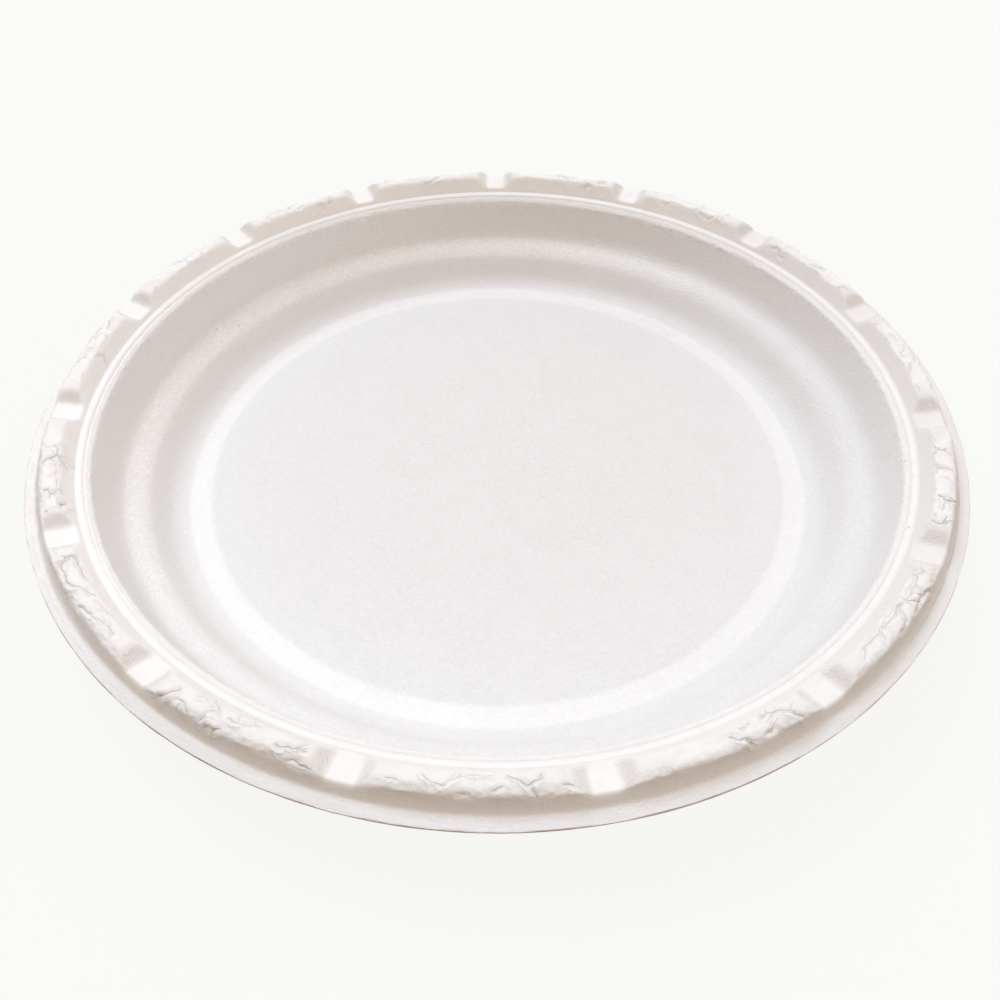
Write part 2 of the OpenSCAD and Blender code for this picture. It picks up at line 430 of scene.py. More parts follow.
# %% Creases on the two pads at the left
LEFT_CREASES = [
    (10, 0.30, [(1.1, 109.1), (2.3, 107.7), (2.8, 105.6)]),
    (10, 0.20, [(6.7, 106.3), (2.9, 105.6), (2.0, 105.2), (-0.2, 104.1)]),
    (10, 0.14, [(0.8, 106.0), (-5.8, 105.7), (-8.2, 105.6), (-9.6, 104.9)]),
    (10, 0.28, [(-8.7, 108.7), (-8.5, 107.6), (-10.0, 107.0), (-9.2, 106.1)]),
    (10, 0.26, [(-15.4, 108.4), (-15.0, 107.4), (-14.6, 105.5), (-12.6, 104.6)]),
    (10, 0.12, [(6.2, 108.8), (5.7, 106.3)]),
    (10, 0.12, [(-4.3, 107.4), (-3.4, 106.3)]),
    (9, 0.28, [(11.7, 108.5), (12.9, 107.4), (12.9, 106.0), (11.9, 105.3)]),
    (9, 0.14, [(11.8, 108.0), (12.1, 106.5)]),
    (9, 0.20, [(11.7, 108.6), (9.1, 108.8), (4.7, 108.6)]),
    (9, 0.20, [(11.9, 105.3), (4.8, 105.2)]),
    (9, 0.26, [(4.6, 108.5), (3.0, 106.9), (0.1, 105.6)]),
    (9, 0.24, [(-1.0, 109.4), (-3.3, 108.6), (-6.4, 107.7), (-9.0, 107.0), (-11.9, 107.0)]),
    (9, 0.18, [(-1.6, 105.9), (-4.1, 105.5), (-6.8, 105.0)]),
]
print(f"creases at the left: {len(LEFT_CREASES)}")

# %% [markdown]
# The pads at the right have longer cracks, which run along the top and cross it in steps. They were
# followed in the same way, bend by bend.

# %% Creases on the two pads at the right
RIGHT_CREASES = [
    (4, 0.24, [(-8.2, 105.5), (-9.3, 105.9), (-8.7, 107.1), (-9.7, 107.9)]),
    (4, 0.22, [(-2.7, 105.6), (-3.0, 107.2), (-2.6, 109.1)]),
    (4, 0.14, [(0.9, 105.8), (-0.1, 106.7), (1.3, 108.5)]),
    (4, 0.30, [(6.7, 106.1), (6.9, 106.8), (8.0, 107.7), (6.8, 109.9)]),
    (4, 0.18, [(8.1, 107.5), (10.9, 107.2)]),
    (4, 0.30, [(14.9, 105.7), (15.7, 107.0), (15.2, 107.7), (13.2, 108.5)]),
    (5, 0.20, [(-16.2, 106.4), (-15.2, 107.1), (-13.7, 106.8), (-8.4, 107.1), (-4.5, 107.1)]),
    (5, 0.28, [(-3.7, 106.3), (-5.2, 107.2), (-7.0, 109.1), (-9.7, 109.3), (-11.7, 110.0)]),
    (5, 0.20, [(-7.0, 109.1), (-5.0, 109.9)]),
    (5, 0.22, [(-3.5, 106.4), (-0.7, 106.9), (3.9, 106.7), (11.0, 106.8)]),
    (5, 0.20, [(-2.7, 107.1), (-1.1, 109.3), (2.0, 109.9)]),
    (5, 0.20, [(3.9, 106.0), (6.4, 108.4)]),
    (5, 0.20, [(9.9, 106.6), (13.1, 108.3)]),
]
print(f"creases at the right: {len(RIGHT_CREASES)}")

# %% [markdown]
# The three pads nearest to the viewer show the most. Theirs are the deepest cracks, and some reach from the
# inner slope over the top to the outer wall.

# %% Creases on the three near pads, and all the drawn ones
NEAR_CREASES = [
    (8, 0.34, [(15.4, 109.9), (14.4, 109.3), (12.7, 107.0)]),
    (8, 0.20, [(11.8, 108.8), (10.2, 108.6), (8.6, 109.4)]),
    (8, 0.22, [(8.6, 105.8), (4.8, 105.1), (3.0, 106.3), (5.0, 107.9), (5.2, 109.8)]),
    (8, 0.22, [(3.8, 109.9), (2.4, 110.0), (1.3, 109.6)]),
    (8, 0.22, [(0.3, 107.3), (-1.4, 107.2), (-3.9, 105.6), (-5.4, 105.7)]),
    (8, 0.36, [(-10.4, 108.0), (-11.9, 107.8), (-13.5, 107.1), (-18.1, 107.7)]),
    (8, 0.20, [(-13.4, 109.7), (-17.7, 109.8)]),
    (7, 0.28, [(-5.9, 106.1), (-9.6, 108.2), (-10.9, 107.6), (-11.7, 106.2)]),
    (7, 0.22, [(-3.7, 108.9), (-5.3, 108.6)]),
    (7, 0.18, [(-16.3, 105.2), (-16.3, 107.2)]),
    (7, 0.18, [(15.1, 108.3), (13.1, 108.6)]),
    (7, 0.20, [(9.0, 106.6), (7.4, 107.9), (5.4, 108.8), (3.5, 107.2), (1.6, 106.1), (-3.3, 106.3)]),
    (7, 0.20, [(-15.8, 108.3), (-18.5, 109.1)]),
    (6, 0.28, [(-7.9, 106.4), (-9.5, 106.2), (-11.7, 106.7), (-13.2, 107.9), (-15.3, 109.9)]),
    (6, 0.34, [(-0.5, 107.3), (-2.1, 108.5), (-3.9, 109.9)]),
    (6, 0.18, [(-5.1, 106.0), (-4.9, 106.7), (-2.9, 106.4)]),
    (6, 0.16, [(-10.3, 107.8), (-7.8, 109.8)]),
]
CREASES = LEFT_CREASES + RIGHT_CREASES + NEAR_CREASES
print(f"creases drawn by hand: {len(CREASES)}")

# %% [markdown]
# A crack in dried pulp seldom ends clean: smaller ones leave it where it bends. One short spur at each bend,
# in a seeded random direction, gives the net its ragged look without every hair of it being drawn.

# %% Small spurs at the bends of the drawn creases
SPUR_REACH = (0.9, 2.2)
SPUR_DEPTH = 0.55

draw = random.Random(5)
spurs = []
for pad, deep, points in CREASES:
    for along, out in points[1:-1]:
        turn = draw.uniform(0, 2 * math.pi)
        reach = draw.uniform(*SPUR_REACH)
        end = (along + reach * math.cos(turn), min(out + reach * math.sin(turn), PAD_OUT_R + 0.5))
        spurs.append((pad, SPUR_DEPTH * deep, [(along, out), end]))
CREASES += spurs
print(f"spurs: {len(spurs)}")

# %% [markdown]
# The pads further off are seen too flat for their cracks to be followed. They get a few faint wandering
# ones, seeded again, so that every run makes the same plate.

# %% Loose creases for the pads that show only faint ones
LOOSE_PADS = [0, 1, 2, 3, 11, 12, 13, 14]
LOOSE_PER_PAD = 7
LOOSE_BENDS = 3
LOOSE_SPAN = 15
LOOSE_DEPTH = (0.08, 0.2)

draw = random.Random(11)
for pad in LOOSE_PADS:
    for k in range(LOOSE_PER_PAD):
        along = draw.uniform(-LOOSE_SPAN, LOOSE_SPAN)
        out = draw.uniform(PAD_IN_R - 0.5, PAD_OUT_R)
        points = [(along, out)]
        for turn in range(LOOSE_BENDS):
            along += draw.uniform(-2.2, 2.2)
            out += draw.uniform(-1.1, 1.1)
            points.append((along, out))
        CREASES.append((pad, draw.uniform(*LOOSE_DEPTH), points))
print(f"creases in all: {len(CREASES)}")

# %% [markdown]
# A crack is two things at once: a shallow valley with a raised rim, wide enough for the mesh, and a dark line
# of painted shade far finer than the mesh. For the line each point stores how far it lies to the left or
# right of the nearest crease. That distance passes evenly through nought, so the finish can draw a line of
# any width.

# %% How points lie to one stretch of a crease
CREASE_HALF_W = 0.55
LINE_REACH = 0.9
PAD_HALF_TURN = math.radians(12)


def from_stretch(here, a, b):
    """Distance from the stretch a to b, distance to the left of it, and how far past its ends."""
    a, step = np.array(a), np.subtract(b, a)
    run = (here - a) @ step / (step @ step)
    within = np.clip(run, 0, 1)
    gap = np.hypot(*(here - a - within[:, None] * step).T)
    left = (step[0] * (here - a)[:, 1] - step[1] * (here - a)[:, 0]) / np.hypot(*step)
    return gap, left, np.abs(run - within) * np.hypot(*step)


def on_pad_at(pad, theta, radius):
    """Which points are on the pad, and how far along and out they lie there."""
    middle = math.radians((bearings[pad] + bearings[pad + 1]) / 2)
    off = (theta - middle + math.pi) % (2 * math.pi) - math.pi
    near = np.flatnonzero(np.abs(off) < PAD_HALF_TURN)
    return near, np.stack([off[near] * radius[near], radius[near]], 1)


tried = from_stretch(np.array([[1.0, 0.5], [3.0, 0.0]]), (0, 0), (2, 0))
print("two points beside a stretch of 2 mm lie", tried[0], "mm away")

# %% [markdown]
# The drawn stretches are straight, and a real crack isn't. So each point is first moved by a little noise,
# and then the straight stretches look bent to it. Where two meet, the deeper valley counts.

# %% The creases' shape at a set of points
STRAY = 0.45
STRAY_SIZE = 1.3


def creased(theta, radius):
    """Depth of the valley, height of its rims, distance to the left of the crease, strength of the line."""
    depth, rims, side, weight = (np.zeros(len(theta)) for _ in range(4))
    side += LINE_REACH
    nearest = np.full(len(theta), LINE_REACH)
    flat = np.stack([radius * np.sin(theta), radius * np.cos(theta), np.zeros(len(theta))], 1)
    stray = np.stack([noise_at(flat, STRAY_SIZE, 11), noise_at(flat, STRAY_SIZE, 12)], 1) * STRAY
    for pad, deep, points in CREASES:
        near, here = on_pad_at(pad, theta, radius)
        here = here + stray[near]
        for a, b in zip(points, points[1:]):
            gap, left, beyond = from_stretch(here, a, b)
            depth[near] = np.maximum(depth[near], deep * np.clip(1 - gap / CREASE_HALF_W, 0, 1))
            rim = 0.45 * deep * np.exp(-(((gap - 1.6 * CREASE_HALF_W) / (0.6 * CREASE_HALF_W)) ** 2))
            rims[near] = np.maximum(rims[near], rim)
            closer = gap < nearest[near]
            at = near[closer]
            nearest[at] = gap[closer]
            side[at] = left[closer]
            weight[at] = min(deep / 0.3, 1.0) * np.clip(1 - beyond[closer] / 0.4, 0, 1)
    return depth, rims * (1 - np.clip(depth / 0.1, 0, 1)), side, weight


tried = creased(np.radians(np.linspace(bearings[7], bearings[8], 200)), np.full(200, NOTCH_MID_R))
print(f"deepest crease half way out on the nearest pad: {tried[0].max():.2f} mm")

# %% [markdown]
# Between the drawn creases the tops are lumpy and finely wrinkled. The wrinkles run mostly round the rim, so
# their noise is read from points that are squeezed round it, and they get stronger towards the outer wall.

# %% Lumps and wrinkles of the pads' tops
def ridges(heights, power):
    """Sharp ridges from 0 to 1 where the noise passes through nought."""
    return np.clip(1 - np.abs(heights) * 2, 0, 1) ** power


def pad_top_relief(theta, radius, points):
    """Height of the wrinkled tops over the smooth section, in millimetres."""
    round_rim = np.stack([np.sin(theta) * 30, np.cos(theta) * 30, radius * 0.9], 1)
    lumps = noises(points, [(0.13, 3.4, 2), (0.08, 1.5, 3)]) + 0.26 * noise_at(round_rim, 2.0, 14)
    lumps *= 1.2 - 0.4 * np.cos(theta)
    wrinkle = ridges(noise_at(round_rim + lumps[:, None] * 6, 1.0, 4), 3)
    crumple = ridges(noise_at(points, 2.0, 13), 4)
    outer = soft_step(radius, PAD_IN_R, PAD_OUT_R)
    return lumps + 0.10 - (0.04 + 0.16 * outer) * wrinkle - 0.12 * crumple


print("ridges from noise of -0.2, 0 and 0.2:", ridges(np.array([-0.2, 0.0, 0.2]), 3).round(2))

# %% [markdown]
# The whole relief is a sum of four: the pads' tops, which begin at a ragged line on the inner slope, less the
# cracks, with the torn inner edge of the lip and the waves of the flange. Each counts only where it belongs.

# %% Relief of the upper face, in millimetres along its normal
CREASE_DEPTH = 1.15
LIP_SPREAD = 0.45
TORN_LIP = [(0.26, 1.1, 5), (0.16, 0.5, 6)]
FLANGE_WAVES = [(0.14, 7.0, 7), (0.09, 1.6, 8)]


def relief(theta, radius, height, clear):
    """Displacement of each point, how far it is on a pad's wrinkled top, and the fine line's two values."""
    points = np.stack([radius * np.sin(theta), radius * np.cos(theta), height], 1)
    ragged = PAD_IN_R - 0.1 + 0.5 * noise_at(points, 2.2, 1)
    top = soft_step(radius, ragged, ragged + 0.3)
    top = top * (1 - soft_step(radius, PAD_OUT_R + 0.3, PAD_OUT_R + 0.9)) * soft_step(clear, 0.1, 0.9)
    pads = top * pad_top_relief(theta, radius, points)
    depth, rims, side, weight = creased(theta, radius)
    on_pad = soft_step(clear, 0.0, 0.4)
    cracks = (CREASE_DEPTH * depth - rims) * on_pad
    torn = np.exp(-(((radius - LIP_R) / LIP_SPREAD) ** 2)) * noises(points, TORN_LIP)
    wavy = soft_step(radius, PAD_FOOT_R, PAD_FOOT_R + 0.8) * noises(points, FLANGE_WAVES)
    return pads - cracks + torn + wavy, (top, side, weight * on_pad)


print(f"relief: {len(TORN_LIP)} layers of noise at the lip, {len(FLANGE_WAVES)} on the flange")

# %% [markdown]
# One function places a ring: it looks up the section's height, takes the lower of the section and the
# notch's channel with a soft corner between them, and moves the point along the section's normal. No point
# rises past the section's highest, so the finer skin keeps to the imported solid's box.

# %% One ring of points
def nearest_notch(theta):
    """Angle from the nearest notch's middle, in radians."""
    middles = np.radians(bearings[:NOTCHES])
    off = (theta[:, None] - middles + math.pi) % (2 * math.pi) - math.pi
    return off[np.arange(len(theta)), np.abs(off).argmin(1)]


def at_radius(line, radius):
    return radius, np.interp(radius, line[:, 0], line[:, 1])


def corner_softness(theta, radius):
    """Height over which a notch's corner is rounded: more at its outer end and at the near side."""
    return (0.4 + 0.8 * soft_step(radius, NOTCH_MID_R, PAD_OUT_R + 0.5)) * (1.3 - 0.4 * np.cos(theta))


def ring_points(line, radius, per_pad, d, rough):
    """Points of one ring in millimetres, and the values that the finish reads beside them."""
    theta = ring_bearings(radius, per_pad)
    r = np.full(len(theta), radius)
    off = nearest_notch(theta)
    section = at_radius(line, radius)[1]
    notch = notch_height(r * np.sin(off), r * np.cos(off), d)
    z = soft_min(np.full(len(theta), section), notch, corner_softness(theta, radius)) - sag(theta, r)
    clear = notch - section
    off_floor = soft_step(np.abs(r * np.sin(off)), NOTCH_W / 2 - 0.5, NOTCH_W / 2 + 1.1)
    in_notch = soft_step(-clear, 0.0, 0.5) * (1 - off_floor)
    pad_end = soft_step(-clear, -0.1, 0.8) * off_floor
    none = np.zeros(len(theta))
    extra = (none, none + LINE_REACH, none)
    if rough:
        slope = heading(at_radius(line, radius - 0.1), at_radius(line, radius + 0.1))
        shift, extra = relief(theta, r, z, clear)
        r = r - slope[1] * shift
        z = np.minimum(z + slope[0] * shift, line[:, 1].max())
    return np.stack([r * np.sin(theta), r * np.cos(theta), z], 1), (in_notch, pad_end, *extra)


tried = ring_points(upper, NOTCH_MID_R, 60, 0, False)[0][:, 2]
print(f"round the middle of the pads the height runs from {tried.min():.1f} to {tried.max():.1f} mm")

# %% [markdown]
# The top gets the relief. The underside stays smooth, which keeps its rings few: it is the same function with
# the line moved down by the wall and no relief.

# %% All the rings, from the centre outwards
def face_rings(line, zones, d, rough):
    rings = []
    for start, end, steps, per_pad in zones:
        for radius in walk(line, start, end, steps):
            rings.append(ring_points(line, radius, per_pad, d, rough))
    return rings


top_rings = face_rings(upper, upper_zones, 0, True)
under_rings = face_rings(lower, lower_zones, WALL, False)
print(f"rings: {len(top_rings)} on top, {len(under_rings)} underneath")

# %% [markdown]
# The rim is cut after pressing, and the cut frays. Three rings close the skin there. They are nicked and
# waved by a tenth of a millimetre, and a nick never reaches past the plate's own width.

# %% The cut edge, which joins the two faces
EDGE_ROUND = 0.12
EDGE_WAVE = [(0.12, 7.0, 7)]
EDGE_NICKS = [(0.10, 5.0, 9), (0.05, 1.2, 10)]


def edge_ring(radius, height, per_pad):
    theta = ring_bearings(radius, per_pad)
    at = np.stack([np.sin(theta) * radius, np.cos(theta) * radius, np.full(len(theta), height)], 1)
    wave = noises(at * [1, 1, 0], EDGE_WAVE)
    nick = np.minimum(noises(at, EDGE_NICKS), PLATE_MM - 0.01 - radius)
    at[:, 0] += np.sin(theta) * nick
    at[:, 1] += np.cos(theta) * nick
    at[:, 2] += wave
    none = np.zeros(len(theta))
    return at, (none, none, none, none + LINE_REACH, none)


edge_rings = [
    edge_ring(PLATE_MM - 0.04, DEPTH - EDGE_ROUND, 60),
    edge_ring(PLATE_MM - 0.02, DEPTH - 0.4 * WALL, 30),
    edge_ring(PLATE_MM - 0.3, DEPTH - 0.8 * WALL, 30),
]
rings = top_rings + edge_rings + under_rings[::-1]
print(f"rings in all: {len(rings)}")

# %% [markdown]
# Neighbouring rings are joined by quads. Where one ring has twice as many points as the other, each face
# takes one more point on that side. The two faces close in a fan at the centre.

# %% Joining the rings into one closed skin
def join(a, b, start_a, start_b):
    """Faces between two rings of n and n, n and 2n, or 2n and n points."""
    faces = []
    n = min(a, b)
    for k in range(n):
        side_a = [start_a + (k * a // n + i) % a for i in range(a // n + 1)]
        side_b = [start_b + (k * b // n + i) % b for i in range(b // n + 1)]
        faces.append(side_a + side_b[::-1])
    return faces


points = np.concatenate([ring[0] for ring in rings])
starts = np.cumsum([0] + [len(ring[0]) for ring in rings])
faces = []
for i in range(len(rings) - 1):
    faces += join(len(rings[i][0]), len(rings[i + 1][0]), starts[i], starts[i + 1])
centre_top, centre_under = len(points), len(points) + 1
points = np.concatenate([points, [[0, 0, WALL + PANEL_RISE], [0, 0, PANEL_RISE]]])
first, last = len(rings[0][0]), len(rings[-1][0])
for k in range(first):
    faces.append([centre_top, (k + 1) % first, k])
for k in range(last):
    faces.append([centre_under, starts[-2] + k, starts[-2] + (k + 1) % last])
triangles = sum(len(face) - 2 for face in faces)
print(f"skin: {len(points)} points, {triangles} triangles")

# %% [markdown]
# The finish has to know where the notches, the pads' ends, their tops and the cracks are. The rings knew it
# when they were made, so it is stored with the points as attributes, and the material reads them back.

# %% The mesh, with what each point is stored beside it
STORED = ("notch_floor", "pad_end", "pad_top", "crack_side", "crack_weight")

mesh = bpy.data.meshes.new("pressed_plate")
mesh.from_pydata((points * MM).tolist(), [], faces)
for column, name in enumerate(STORED):
    values = np.concatenate([ring[1][column] for ring in rings] + [np.zeros(2)])
    attribute = mesh.attributes.new(name, "FLOAT", "POINT")
    attribute.data.foreach_set("value", values.astype(np.float32))
mesh.shade_smooth()
mesh.set_sharp_from_angle(angle=math.radians(50))
plate = bpy.data.objects.new("pressed_plate", mesh)
bpy.context.scene.collection.objects.link(plate)
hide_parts("plate")
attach(plate, "root")
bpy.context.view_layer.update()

# %% [markdown]
# Materials are sums of small patterns. Blender shows them as nodes, and a long sum makes a long row of
# Math nodes. Here one class wraps a socket and turns + - * / into those nodes, so a pattern reads as a sum.

# %% A socket that can be used in sums
class Value:
    def __init__(self, tree, socket):
        self.tree, self.socket = tree, socket

    def node(self, kind, settings=None, sockets=None, out=None):
        """A new node: settings are set first, then sockets get their values or links."""
        made = self.tree.nodes.new(kind)
        for name, setting in (settings or {}).items():
            setattr(made, name, setting)
        for name, given in (sockets or {}).items():
            if isinstance(name, int):
                target = made.inputs[name]
            else:
                target = next(s for s in made.inputs if s.name == name and s.enabled)
            if isinstance(given, Value):
                self.tree.links.new(given.socket, target)
            else:
                target.default_value = given
        shown = [s for s in made.outputs if s.enabled]
        return Value(self.tree, shown[0] if out is None else next(s for s in shown if s.name == out))

    def math(self, operation, *others):
        return self.node("ShaderNodeMath", {"operation": operation}, dict(enumerate((self, *others))))

    def vector(self, operation, *others, out=None):
        given = dict(enumerate((self, *others)))
        return self.node("ShaderNodeVectorMath", {"operation": operation}, given, out)

    def __add__(self, other):
        return self.math("ADD", other)

    def __sub__(self, other):
        return self.math("SUBTRACT", other)

    def __rsub__(self, other):
        return self.node("ShaderNodeMath", {"operation": "SUBTRACT"}, {0: other, 1: self})

    def __mul__(self, other):
        return self.math("MULTIPLY", other)

    def __truediv__(self, other):
        return self.math("DIVIDE", other)

    __radd__, __rmul__ = __add__, __mul__

    def step(self, start, end):
        """0 up to start, 1 from end, smooth between."""
        ramp = {"interpolation_type": "SMOOTHSTEP"}
        return self.node("ShaderNodeMapRange", ramp, {"Value": self, "From Min": start, "From Max": end})

    def band(self, start, end, soft):
        """1 between start and end, falling to 0 over soft on both sides."""
        return self.step(start - soft, start) * (1 - self.step(end, end + soft))


print("a Value can be added, subtracted, multiplied, divided, stepped and banded")

# %% [markdown]
# A new material comes with nodes of its own, so it is emptied first. Every pattern of this finish starts from
# the object's own coordinates, in metres, so it stays with the plate wherever the plate is put.

# %% The material and its coordinates
def fresh(tree, output_kind):
    """Empties a node tree and gives it one output node."""
    tree.nodes.clear()
    return tree.nodes.new(output_kind)


fibre = bpy.data.materials.new("pressed_fibre")
fibre.use_nodes = True
tree = fibre.node_tree
output = fresh(tree, "ShaderNodeOutputMaterial")
place = Value(tree, tree.nodes.new("ShaderNodeTexCoord").outputs["Object"])
print(f"the finish starts with {len(tree.nodes)} nodes")

# %% [markdown]
# Pressed pulp is matt and slightly warm. Its felted fibres lie in all directions, so the felt is built from
# short strokes: noise that is squeezed across, turned three ways, with slow masks that say where each way
# shows. The strokes' mean is nought everywhere, so the masks leave no blotches.

# %% Felt of the fibres
def grain(at, size, detail=2.0, roughness=0.5):
    """Noise from 0 to 1 whose lumps are about size millimetres."""
    sockets = {"Vector": at, "Scale": 1 / (size * MM), "Detail": detail, "Roughness": roughness}
    return at.node("ShaderNodeTexNoise", None, sockets, "Fac")


def stretched(at, turn, factor):
    """Coordinates turned about +Z and squeezed across, so that noise on them makes strokes."""
    turned = at.node("ShaderNodeVectorRotate", {"rotation_type": "Z_AXIS"}, {"Vector": at, "Angle": turn})
    return turned.vector("MULTIPLY", (1.0 / factor, 1.0, 1.0))


STROKE_LENGTH = 4.0
stream = grain(place, 14.0)
strokes = (grain(stretched(place, 0.5, STROKE_LENGTH), 0.42) - 0.5) * stream.step(0.35, 0.55)
crossing = (grain(stretched(place, 1.7, STROKE_LENGTH), 0.38) - 0.5) * (1 - stream.step(0.45, 0.65))
slanted = (grain(stretched(place, 2.7, STROKE_LENGTH), 0.45) - 0.5) * grain(place, 11.0).step(0.4, 0.6)
felt = (strokes + crossing + slanted) * 0.8 + (grain(place, 0.7, 3.0) - 0.5) * 0.6
fine = grain(place, 0.18, 1.0)
print(f"with the felt: {len(tree.nodes)} nodes")

# %% [markdown]
# What the rings stored comes back as attributes. A crack's line of painted shade is drawn where the distance
# to the crease is near nought, so it is much finer than the mesh that carries it.

# %% What the mesh stored, and the cracks' lines of painted shade
def stored(name):
    return place.node("ShaderNodeAttribute", {"attribute_name": name}, None, "Fac")


notch_floor, pad_end, pad_top, crack_side, crack_weight = (stored(name) for name in STORED)
# The crack's line, used below as painted shade and as a bump.
crack = (1 - crack_side.math("ABSOLUTE").step(0.08, 0.24)) * crack_weight
print("read from the mesh:", ", ".join(STORED))

# %% [markdown]
# Most zones of the finish are rings: the resting ring, lip, bead, pads, flange and cut edge. Each is a band
# of the distance from the axis, in millimetres, with a soft border. The lip's border is ragged, since the
# felt is torn there.

# %% Zones that are rings
from_axis = place.vector("MULTIPLY", (1.0, 1.0, 0.0))
radius_mm = from_axis.vector("LENGTH", out="Value") / MM
ragged_r = radius_mm + (grain(place, 0.9, 3.0, 0.6) - 0.5) * 1.6

ring_zone = radius_mm.band(RING_IN_R, RING_OUT_R, 1.6)
lip_zone = ragged_r.band(LIP_R, VALLEY_R, 0.3)
bead_zone = radius_mm.band(GROOVE_R + 0.15, VALLEY_R - 0.2, 0.35)
rim_zone = radius_mm.band(VALLEY_R, PAD_FOOT_R, 0.8)
rim_side = radius_mm.step(LIP_R, VALLEY_R)
flange_zone = radius_mm.step(PAD_FOOT_R - 0.2, PAD_FOOT_R + 0.8)
cut_zone = radius_mm.step(TOP_R - 0.05, TOP_R + 0.12)
smooth_zone = (ring_zone * 0.6 + notch_floor * 0.6 + lip_zone * 0.4).math("MINIMUM", 1.0)
print(f"with the rings: {len(tree.nodes)} nodes")

# %% [markdown]
# Light and shade that fall unevenly round the plate are painted here. Painted light makes the ledge palest at
# the far left and the left flange whiter, and painted shade makes the right and near rims browner. Masks that
# run across the plate say where.

# %% Painted light and shade that belong to one side
across_x = place.node("ShaderNodeSeparateXYZ", None, {0: place}, "X")
away_y = place.node("ShaderNodeSeparateXYZ", None, {0: place}, "Y")
sideways = across_x.math("ABSOLUTE").step(0.070, 0.098)
far_left = (away_y - across_x).step(-0.05, 0.09)
# Painted light on the ledge, strongest at the far left.
ledge_light = radius_mm.band(91.0, 95.0, 1.5) * (0.15 + 0.85 * far_left)
# Painted shade: the right rim and the near rim are made browner.
right_rim_shade = radius_mm.step(GROOVE_R + 0.5, VALLEY_R) * across_x.step(0.03, 0.105)
near_rim_shade = radius_mm.step(GROOVE_R - 1.0, GROOVE_R) * (1 - away_y.step(-0.100, -0.050))
# Painted light: the left flange is made whiter.
left_flange_light = flange_zone * (1 - across_x.step(-0.105, -0.06))
print(f"with the sides: {len(tree.nodes)} nodes")

# %% [markdown]
# Thin dark lines mark the groove, the valley, the foot of the pads, the border of the wrinkled tops and a
# scored line on the flange. The lines in the groove, the valley and at the foot are painted shade. They are
# broken up by noise, since no line on pressed pulp runs clean all the way round.

# %% Thin lines, most of them painted shade
RIM_LINE_R = PLATE_MM - 1.35

# Painted shade in the groove and, fainter, in the valley, left off on the left side.
groove_shade_line = radius_mm.band(GROOVE_R - 0.05, GROOVE_R + 0.05, 0.2)
groove_shade_line = groove_shade_line + radius_mm.band(VALLEY_R - 0.1, VALLEY_R + 0.1, 0.3) * 0.5
groove_shade_line = groove_shade_line * across_x.step(-0.09, -0.05)
rim_line = radius_mm.band(RIM_LINE_R, RIM_LINE_R + 0.1, 0.15) * (1 - across_x.step(-0.09, -0.03))
rim_line = rim_line * (1 - away_y.step(-0.05, 0.03)) * grain(place, 5.0).step(0.35, 0.55)
# Painted shade at the foot of the pads, at the left and right sides.
foot_shade_line = radius_mm.band(PAD_FOOT_R - 0.05, PAD_FOOT_R + 0.1, 0.3) * sideways * (1 - notch_floor)
foot_shade_line = foot_shade_line * (0.35 + 0.65 * grain(place, 6.0).step(0.35, 0.6))
edge_line = pad_top.band(0.35, 0.65, 0.25) * (1 - radius_mm.step(PAD_IN_R + 0.6, PAD_IN_R + 1.0))
edge_line = edge_line * sideways * grain(place, 2.6).step(0.42, 0.6)
# Painted shade at the pads' foot, mixed with the dark border line and the scored line.
thin_lines = (foot_shade_line * 0.5).math("MAXIMUM", edge_line * 0.35).math("MAXIMUM", rim_line * 0.2)
print(f"with the thin lines: {len(tree.nodes)} nodes")

# %% [markdown]
# The marks on the flange run round the rim. Noise makes such streaks when it is read from points that turn
# with the rim, but on a smaller circle.

# %% Streaks round the rim, and mottling
STREAK_CIRCLE = 0.026

outward = from_axis.vector("NORMALIZE").vector("MULTIPLY", (STREAK_CIRCLE, STREAK_CIRCLE, 0.0))
height_z = place.node("ShaderNodeCombineXYZ", None, {"Z": radius_mm * MM})
streaks = grain(outward.vector("ADD", height_z), 0.9, 3.0, 0.6)
mottle = grain(place, 5.0, 4.0, 0.6).step(0.50, 0.75) * 0.3
mottle = mottle.math("MAXIMUM", flange_zone * streaks.step(0.42, 0.70) * 0.35)
print(f"with the streaks: {len(tree.nodes)} nodes")

# %% [markdown]
# The colours are close together: pulp is a warm white, whiter where the mould pressed it hard and browner
# where fibre was torn. Some layers are painted light and shade instead: the pale ledge and left flange, the
# browner right and near rims, the darker pads' ends, and the dark lines in the groove, at the pads' foot and
# in the cracks. Each layer of the list is mixed over what lies below it, by the share its mask gives.

# %% Colours of the fibre, with painted light and shade
FLOOR_COLOUR = (0.858, 0.852, 0.857, 1)
FELT_COLOUR = (0.795, 0.787, 0.785, 1)
RING_COLOUR = (0.915, 0.905, 0.905, 1)
RIM_COLOUR = (0.95, 0.933, 0.922, 1)
# Painted light: a whiter colour for the left flange.
LEFT_LIGHT_COLOUR = (0.99, 0.978, 0.968, 1)
# Painted shade: a browner colour for the right and near rims.
RIM_SHADE_COLOUR = (0.84, 0.815, 0.795, 1)
# Painted shade: a dark colour for the groove and the valley.
GROOVE_SHADE_COLOUR = (0.74, 0.70, 0.67, 1)
PRESSED_COLOUR = (0.985, 0.978, 0.978, 1)
LIP_COLOUR = (0.935, 0.922, 0.918, 1)
# Painted light: a paler colour for the ledge.
LEDGE_LIGHT_COLOUR = (0.96, 0.948, 0.948, 1)
# Painted shade: a darker colour for the pads' ends.
END_SHADE_COLOUR = (0.87, 0.84, 0.82, 1)
CUT_COLOUR = (0.72, 0.60, 0.52, 1)
# Painted shade in the cracks and the thin lines; the same dark brown marks the real bark specks.
SHADE_AND_SPECK_COLOUR = (0.50, 0.45, 0.42, 1)
MOTTLE_COLOUR = (0.83, 0.80, 0.775, 1)

